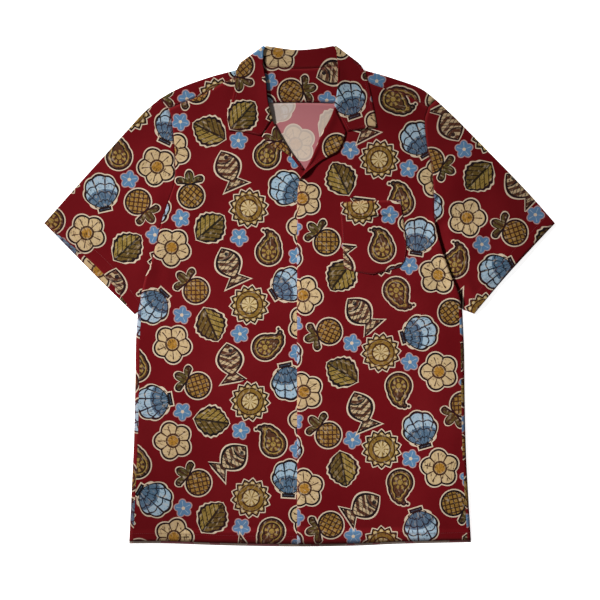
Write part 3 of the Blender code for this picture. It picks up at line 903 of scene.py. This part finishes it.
def back():
    rights = spline(SIDE_SEAM["right"], SIDE_ROWS) + back_armhole("right")[1:-FINE]
    lefts = spline(SIDE_SEAM["left"][:-1] + [BACK_LOW["left"][-1]], SIDE_ROWS)
    lefts += back_armhole("left")[1:-FINE]
    grid = patch(spline(HEM_LINE, BACK_COLUMNS), spline(YOKE_SEAM, BACK_COLUMNS), rights, lefts)
    hem_rows = with_hem(grid, HEM)
    return cloth("shown_back", raised(grid, back_height), [REVERSE, PRINTED],
                 lambda r, c: CHARTS["back_hem" if r < hem_rows else "back"])


def yoke():
    """The yoke's back, and the strip in front of each shoulder that it goes over into."""
    rights = spline(SHOULDER["right"], SHOULDER_COLUMNS)
    lefts = spline(SHOULDER["left"], SHOULDER_COLUMNS)[::-1]
    neck = spline(BACK_NECK, NECK_COLUMNS)
    lows = spline(YOKE_SEAM, BACK_COLUMNS)
    sides = [spline([a, b], YOKE_ROWS) for a, b in ((lows[0], rights[0]), (lows[-1], lefts[-1]))]
    grid = patch(lows, rights + neck[1:-1] + lefts, *sides)
    sheet = raised(grid, back_height)
    strips = {"right": spline(FORWARD_SEAM["right"], SHOULDER_COLUMNS),
              "left": spline(FORWARD_SEAM["left"], SHOULDER_COLUMNS)[::-1]}
    upper = [[] for _ in range(TURN_STEPS + STRIP_ROWS)]
    columns = len(lows)
    for c in range(columns):
        side = "right" if c <= SHOULDER_COLUMNS else "left"
        shoulder = c if side == "right" else c - (columns - 1 - SHOULDER_COLUMNS)
        if SHOULDER_COLUMNS < c < columns - 1 - SHOULDER_COLUMNS:
            for line in upper:
                line.append(None)
            continue
        fold = grid[-1][c]
        seam = strips[side][shoulder]
        out = (fold - seam).normalized()
        layers = (top_height(fold.x, fold.y) - back_height(fold.x, fold.y)) / LAYER
        pulled = fold - out * (WALL + LAYER * layers) / 2
        low_end = Vector((pulled.x, pulled.y, back_height(pulled.x, pulled.y)))
        strip = raised([spline([pulled, seam], STRIP_ROWS)], top_height)[0]
        sheet[-1][c] = low_end
        arc = turn(low_end, strip[0], Vector((out.x, out.y, 0)), LAYER * layers / 2)
        for line, point in zip(upper, arc + strip):
            line.append(point)

    def chart_of(r, c):
        if r < YOKE_ROWS:
            return CHARTS["yoke"]
        return CHARTS["strip_right" if c < columns // 2 else "strip_left"]

    return cloth("shown_yoke", sheet + upper, [REVERSE, PRINTED], chart_of)


def inner_yoke():
    neck = spline(BACK_NECK, NECK_COLUMNS)
    corners = [Vector((side * LINING_HALF, LINING_SIDE_TOP)) for side in (-1, 1)]
    high = spline([corners[0], neck[0]], 2 * FINE)[:-1] + neck
    high += spline([neck[-1], corners[1]], 2 * FINE)[1:]
    low = spline([(-LINING_HALF, LINING_LOW), (0, YOKE_SEAM[2][1]), (LINING_HALF, LINING_LOW)],
                 len(high) - 1)
    sides = [spline([a, b], YOKE_ROWS) for a, b in ((low[0], high[0]), (low[-1], high[-1]))]
    return cloth("shown_inner_yoke", raised(patch(low, high, *sides), lining_height),
                 [PRINTED, REVERSE], lambda r, c: CHARTS["inside"])


def sleeve(side):
    """A flat tube: rings from the armhole to the cuff, each over the top and back below."""
    fold = spline(SLEEVE_FOLD[side], CUFF_STATIONS)
    rows = ARM_LOW_ROWS + ARM_TOP_ROWS + FINE
    cuffs = [spline(cuff_points(side, bow)[0], rows) for bow in (CUFF_BOW, CUFF_BOW_BELOW)]
    cap = spline([ARMHOLE_TOP[side][0], SHOULDER[side][0]], FINE)[1:]
    armholes = armhole(side, SLEEVE_LOW) + cap, back_armhole(side)
    layers = []
    for armhole_line, cuff in zip(armholes, cuffs):
        hem = spline([armhole_line[0], CUFF_CORNER[side]], CUFF_STATIONS)
        layers.append(patch(armhole_line, cuff, hem, fold))
    rings = []
    for front_line, back_line in zip(*layers):
        outs = []
        for end, inner in ((0, 1), (-1, -2)):
            outs.append((front_line[end] - front_line[inner]).normalized())
            for line in (front_line, back_line):
                line[end] = line[end] + (line[inner] - line[end]).normalized() * (WALL + LAYER) / 2
        low_out, top_out = [Vector((out.x, out.y, 0)) for out in outs]
        upper = raised([front_line], sleeve_height(side))[0]
        lower = raised([back_line], back_height)[0]
        ring = upper + turn(upper[-1], lower[-1], top_out, LAYER / 2)
        ring += lower[::-1] + turn(lower[0], upper[0], low_out, LAYER / 2)
        rings.append(ring if side == "left" else ring[::-1])
    front_points = rows + 1 + TURN_STEPS // 2

    def in_hem(r, c):
        return 1 if from_cuff(side, rings[r][c].xy) < CUFF_HEM else 0

    def chart_of(r, c):
        behind = c >= front_points if side == "left" else c < len(rings[0]) - front_points
        return CHARTS["cuff_" + side if behind and in_hem(r, c) else "sleeve_" + side]

    return cloth("shown_sleeve_" + side, rings, [PRINTED, REVERSE, PRINTED, PRINTED],
                 chart_of, in_hem, ring=True)


def collar_column(stand, fall, stand_height, fall_height, soft=0.0):
    """One line across the collar: up the stand, round the roll and out along the fall."""
    low = raised([stand], stand_height)[0]
    high = raised([fall], fall_height)[0]
    for place, point in enumerate(high):
        point.z += puff(place / (len(high) - 1), soft)
    away = (stand[-1] - stand[0]).normalized().to_3d()
    radius = abs(high[0].z - low[-1].z) / 2
    low[-1] -= away * (radius + WALL / 2)
    high[0] -= away * (radius + WALL / 2)
    return low + turn(low[-1], high[0], away, radius) + high


def collar():
    """The collar's columns from one wing, behind the neck and to the other wing."""
    wings = {}
    creases = {}
    for side in ("right", "left"):
        seam = neck_seam(side)
        seam[0] = seam[0].lerp(seam[1], NECK_START)
        seam.append(Vector(SHOULDER[side][-1]))
        seam = seam[:-2] + spline([seam[-2], seam[-1]], FINE)
        roll = spline(ROLL_NECK[side][:-1], NECK_ROWS)[:-1] + spline(ROLL_NECK[side][-2:], FINE)
        rim = spline(WING_EDGE[side][:-1], NECK_ROWS)[:-1] + spline(WING_EDGE[side][-2:], FINE)
        end = halved([Vector(p) for p in WING_END[side]], FALL_HALVINGS)
        crease = spline([roll[-1], rim[-1]], len(end) - 1)
        falls = patch(end, crease, roll, rim)
        columns = []
        for place, (a, b, fall) in enumerate(zip(seam, roll, falls)):
            share = place / len(seam)
            soft = COLLAR_SOFT * ease(share, 0.0, COLLAR_FILLS) * ease(-share, -1.0, -COLLAR_SINKS)
            columns.append(collar_column(spline([a, b], STAND_ROWS), fall, top_height,
                                         lambda x, up: top_height(x, up) + LAYER, soft))
        wings[side] = columns
        creases[side] = crease
    neck = spline(BACK_NECK, NECK_COLUMNS)
    top = spline(COLLAR_TOP, NECK_COLUMNS)
    rim = spline(BACK_RIM, NECK_COLUMNS)
    falls = patch(creases["right"], creases["left"], top, rim)
    behind = [collar_column(spline([a, b], STAND_ROWS), fall, lining_height,
                            lambda x, up: WALL / 2)
              for a, b, fall in zip(neck, top, falls)]
    turns = {}
    for side, hidden in (("right", behind[0]), ("left", behind[-1])):
        shown = wings[side][-1]
        along = creases[side][-1] - creases[side][0]
        out = Vector((along.y, -along.x, 0)).normalized() * side_of(side) * -1
        arcs = []
        for point, (upper, lower) in enumerate(zip(shown, hidden)):
            bulge = (upper.z - lower.z) / 2
            shift = out * (bulge + WALL / 2)
            shown[point] = upper - shift
            hidden[point] = lower - shift
            arcs.append(turn(shown[point], hidden[point], out, bulge))
        turns[side] = [list(line) for line in zip(*arcs)]
    columns = wings["right"] + turns["right"] + behind + turns["left"][::-1] + wings["left"][::-1]
    wing = len(wings["right"]) + TURN_STEPS // 2

    def chart_of(r, c):
        if r < wing:
            return CHARTS["wing_right"]
        return CHARTS["wing_left" if r > len(columns) - wing else "inside"]

    return cloth("shown_collar", columns, [PRINTED, PRINTED], chart_of)


def pocket():
    start, end = [spline(side, POCKET_ROWS) for side in POCKET_SIDES]
    low = halved([Vector(point) for point in POCKET_END], POCKET_HALVINGS)
    high = spline(POCKET_TOP, len(low) - 1)
    grid = patch(high, low, start, end)
    hem_rows = with_hem(grid, POCKET_HEM)
    sheet = raised(grid, lambda x, up: left_front_height(x, up) + POCKET_STEP)
    thicken(sheet, hem_rows)
    for line, gape in zip(sheet, (POCKET_GAPE, POCKET_GAPE * GAPE_BELOW)):
        for c, point in enumerate(line):
            point.z += gape * sin(pi * c / (len(high) - 1))
    return cloth("shown_pocket", sheet, [PRINTED, REVERSE], lambda r, c: CHARTS["pocket"])


# ---------------------------------------------------------------- the sewing
STITCH, STITCH_WIDTH, STITCH_STEP = 2.5, 0.5, 3.3
STITCH_FLAT = 0.7     # a stitch's height, its bevel and how far it is lifted, against its width
STITCH_BEVEL, STITCH_LIFT = 0.28, 0.1
DROP_HEIGHT = 1.0     # metres above the floor, from where the cloth under a stitch is sought
HEM_INSET = 2         # how far each line of stitches lies from the edge or seam that it follows
LAPEL_INSET, SHOULDER_INSET, WING_INSET, POCKET_INSET, LINING_INSET = 4, 2.5, 5, 2, 3
LAPEL_LEGS, SHOULDER_LEGS, WING_LEGS, POCKET_LEGS, LINING_LEGS = 12, 10, 8, 10, 12


def model_stitch():
    """One stitch that lies along x: its corners and its faces."""
    for other in bpy.context.selected_objects:
        other.select_set(False)
    bpy.ops.mesh.primitive_cylinder_add(vertices=6, radius=STITCH_WIDTH / 2 * MM, depth=STITCH * MM,
                                        location=(0, 0, 0), rotation=(0, pi / 2, 0))
    stitch = bpy.context.object
    bpy.ops.object.transform_apply(location=True, rotation=True, scale=True)
    bpy.ops.object.mode_set(mode="EDIT")
    bpy.ops.mesh.select_all(action="SELECT")
    bpy.ops.transform.resize(value=(1, 1, STITCH_FLAT))
    bpy.ops.mesh.bevel(offset=STITCH_WIDTH * STITCH_BEVEL * MM, segments=1, affect="EDGES")
    bpy.ops.object.mode_set(mode="OBJECT")
    corners = [vertex.co.copy() for vertex in stitch.data.vertices]
    faces = [tuple(face.vertices) for face in stitch.data.polygons]
    bpy.data.objects.remove(stitch)
    return corners, faces


def moved_in(line, distance):
    """The line moved sideways, to its left."""
    points = []
    for place, point in enumerate(line):
        ahead = line[min(place + 1, len(line) - 1)] - line[max(place - 1, 0)]
        points.append(point + Vector((-ahead.y, ahead.x)).normalized() * distance)
    return points


def sew(name, cloth_piece, lines, pattern):
    """Rows of stitches along the lines, each stitch lying on the cloth that is under it."""
    corners, pattern_faces = pattern
    vertices = []
    faces = []
    for line in lines:
        length = sum((b - a).length for a, b in zip(line, line[1:]))
        points = spline(line, int(length / STITCH_STEP))
        for a, b in zip(points, points[1:]):
            middle = (a + b) / 2
            start = Vector((middle.x * MM, (middle.y - LENGTH / 2) * MM, DROP_HEIGHT))
            hit, place, normal, _ = cloth_piece.ray_cast(start, Vector((0, 0, -1)))
            if not hit:
                continue
            ahead = (b - a).to_3d()
            ahead = (ahead - normal * ahead.dot(normal)).normalized()
            beside = normal.cross(ahead)
            base = len(vertices)
            for corner in corners:
                vertices.append(place + ahead * corner.x + beside * corner.y
                                + normal * (corner.z + STITCH_WIDTH * STITCH_LIFT * MM))
            faces += [[base + corner for corner in face] for face in pattern_faces]
    mesh = bpy.data.meshes.new(name)
    mesh.from_pydata(vertices, [], faces)
    mesh.materials.append(THREAD)
    mesh.shade_smooth()
    piece = bpy.data.objects.new(name, mesh)
    bpy.context.scene.collection.objects.link(piece)
    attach(piece, "root")


def dress(piece, node):
    """A piece in place of a solid: hung on the root, with the solid hidden."""
    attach(piece, "root")
    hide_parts(node)
    return piece


# The floor, lights and camera, in metres and watts. A light has a place and what it is aimed at.
FLOOR_SIZE = 12
WORLD_LIGHT = 0.08
KEY_PLACE, KEY_AIM = (-4.0, 3.25, 3.75), (0.03, -0.1, 0.0)
KEY_POWER, KEY_RADIUS, KEY_CONE = 3000, 0.35, 0.22
OVERHEAD_PLACE, OVERHEAD_AIM = (-0.1, -0.05, 0.8), (-0.1, -0.05, 0.0)
OVERHEAD_POWER, OVERHEAD_SIZE = 0.4, 0.5
EYE_PLACE = (0.0008, -0.007, 3.0)
LENS, SENSOR = 111.0, 36.0  # millimetres


def stage():
    bpy.ops.mesh.primitive_plane_add(size=FLOOR_SIZE, location=(0, 0, 0))
    floor = bpy.context.object
    floor.name = "floor"
    floor.data.materials.append(floor_finish())

    world = bpy.data.worlds.new("studio")
    bpy.context.scene.world = world
    world.use_nodes = True
    background = world.node_tree.nodes["Background"]
    background.inputs["Color"].default_value = (1, 1, 1, 1)
    background.inputs["Strength"].default_value = WORLD_LIGHT

    key = bpy.data.lights.new("key", "SPOT")
    key.energy = KEY_POWER
    key.shadow_soft_size = KEY_RADIUS
    key.spot_size = KEY_CONE
    key.spot_blend = 1.0
    overhead = bpy.data.lights.new("overhead", "AREA")
    overhead.energy = OVERHEAD_POWER
    overhead.size = OVERHEAD_SIZE
    for light, place, aim in ((key, KEY_PLACE, KEY_AIM), (overhead, OVERHEAD_PLACE, OVERHEAD_AIM)):
        lamp = bpy.data.objects.new(light.name, light)
        lamp.location = place
        lamp.rotation_euler = (Vector(aim) - Vector(place)).to_track_quat("-Z", "Y").to_euler()
        bpy.context.scene.collection.objects.link(lamp)

    camera = bpy.data.cameras.new("camera")
    camera.lens = LENS
    camera.sensor_width = SENSOR
    eye = bpy.data.objects.new("camera", camera)
    eye.location = EYE_PLACE
    bpy.context.scene.collection.objects.link(eye)
    bpy.context.scene.camera = eye


def dress_all():
    """Every piece of cloth, by the name that the sewing knows it by."""
    dress(back(), "back")
    strips = dress(yoke(), "yoke")
    inside = dress(inner_yoke(), "inner_yoke")
    fronts = {
        "right": dress(front("right", top_height), "front_right"),
        "left": dress(front("left", left_front_height), "front_left"),
    }
    sleeves = {side: dress(sleeve(side), "sleeve_" + side)
               for side in ("right", "left")}
    fall = dress(collar(), "collar")
    patch_pocket = dress(pocket(), "pocket")
    return strips, inside, fronts, sleeves, fall, patch_pocket


def sew_all(strips, inside, fronts, sleeves, fall, patch_pocket):
    """Every line of stitches that shows."""
    pattern = model_stitch()
    for side in ("right", "left"):
        hem = front_hem(side, FRONT_HEM_RISE + HEM - HEM_INSET)
        lapel = moved_in(spline(LAPEL_EDGE[side], LAPEL_LEGS), LAPEL_INSET * side_of(side))
        sew("stitches_front_" + side, fronts[side], [hem, lapel], pattern)
        cuff, inward = cuff_points(side, CUFF_BOW)
        cuff = [point + inward * (CUFF_HEM - HEM_INSET) for point in cuff]
        sew("stitches_cuff_" + side, sleeves[side], [cuff], pattern)
        shoulder = moved_in(spline(FORWARD_SEAM[side], SHOULDER_LEGS), -SHOULDER_INSET * side_of(side))
        sew("stitches_shoulder_" + side, strips, [shoulder], pattern)
        wing = [Vector(p) for p in WING_END[side]] + spline(WING_EDGE[side], WING_LEGS)[1:]
        sew("stitches_wing_" + side, fall, [moved_in(wing, WING_INSET * side_of(side))], pattern)
    start, end = [spline(line, POCKET_LEGS) for line in POCKET_SIDES]
    around = start + [Vector(p) for p in POCKET_END[1:-1]] + end[::-1]
    mouth = [Vector(p) + Vector((0, HEM_INSET - POCKET_HEM)) for p in POCKET_TOP]
    sew("stitches_pocket", patch_pocket, [moved_in(around, POCKET_INSET), mouth], pattern)
    seam_low, seam_middle = LINING_LOW + LINING_INSET, YOKE_SEAM[2][1] + LINING_INSET
    low = [(-LINING_HALF, seam_low), (0, seam_middle), (LINING_HALF, seam_low)]
    sew("stitches_inner_yoke", inside, [spline(low, LINING_LEGS)], pattern)


def main():
    bpy.context.scene.view_settings.view_transform = "Standard"
    stage()
    sew_all(*dress_all())


main()
